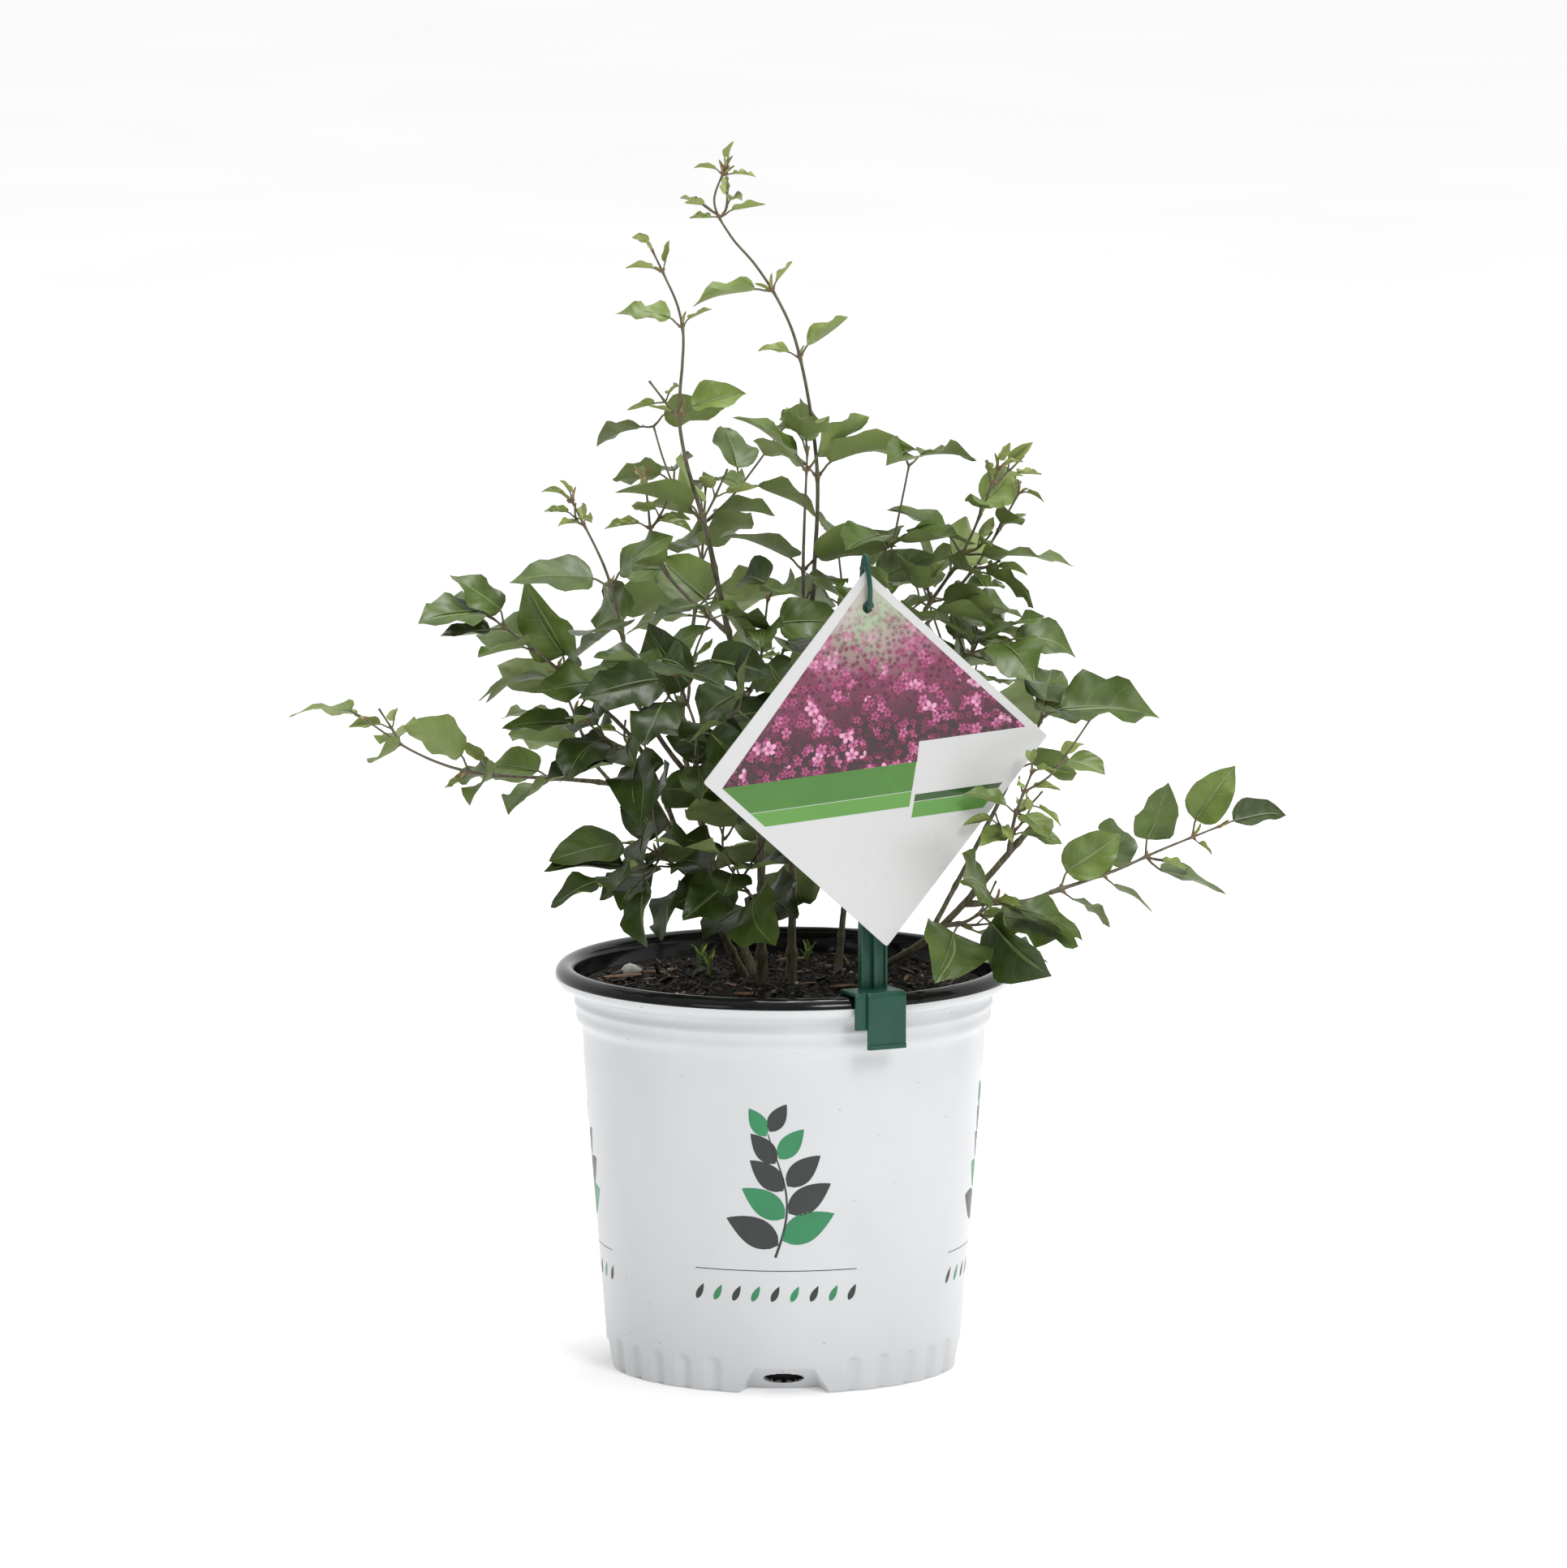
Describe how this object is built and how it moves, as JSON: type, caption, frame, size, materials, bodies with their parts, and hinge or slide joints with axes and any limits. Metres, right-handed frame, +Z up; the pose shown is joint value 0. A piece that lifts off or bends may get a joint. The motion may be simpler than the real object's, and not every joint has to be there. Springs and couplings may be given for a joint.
{
  "type": "young lilac shrub in a nursery pot",
  "caption": "Young reblooming lilac shrub with slender leafy shoots, in a round plastic nursery pot with a square label card on a rim clip.",
  "frame": {"origin": "on the pot's axis, at the flat underside of the pot's floor that the plant stands on", "axes": "+Z up along the pot's axis, -Y towards the front where the label card hangs, +X to the right seen from the front"},
  "size_m": [0.5028, 0.3031, 0.6273],
  "materials": {
    "pot": "satin white outside, black lining",
    "soil": "damp bark-based potting mix",
    "bark": "thin grey-brown bark",
    "leaf": "soft leaf, satin above and pale below",
    "holder": "moulded dark green plastic",
    "card": "printed glossy plastic card"
  },
  "bodies": {
    "root": {"bough_back": "bark", "bough_back_left": "bark", "bough_back_right": "bark", "bough_left": "bark", "bough_left_low": "bark", "bough_left_shoulder": "bark", "bough_right_low": "bark", "bough_right_mid": "bark", "bough_right_shoulder": "bark", "bough_right_top": "bark", "label_card": "card", "label_holder": "holder", "leaves_back": "leaf", "leaves_back_foot": "leaf", "leaves_back_left": "leaf", "leaves_back_right": "leaf", "leaves_back_upper": "leaf", "leaves_centre": "leaf", "leaves_left_arch": "leaf", "leaves_left_foot": "leaf", "leaves_left_leader": "leaf", "leaves_left_low": "leaf", "leaves_left_shoulder": "leaf", "leaves_left_side": "leaf", "leaves_middle_foot": "leaf", "leaves_middle_front": "leaf", "leaves_right_low": "leaf", "leaves_right_mid": "leaf", "leaves_right_rim": "leaf", "leaves_right_shoulder": "leaf", "leaves_right_sprig": "leaf", "leaves_right_tip": "leaf", "leaves_right_top": "leaf", "leaves_second_leader": "leaf", "leaves_tall_leader": "leaf", "leaves_upper_left": "leaf", "leaves_upper_middle": "leaf", "leaves_upper_right": "leaf", "pot": "pot", "soil": "soil", "stem_back": "bark", "stem_back_left": "bark", "stem_centre": "bark", "stem_left": "bark", "stem_rear": "bark", "stem_right": "bark"}
  },
  "joints": []
}
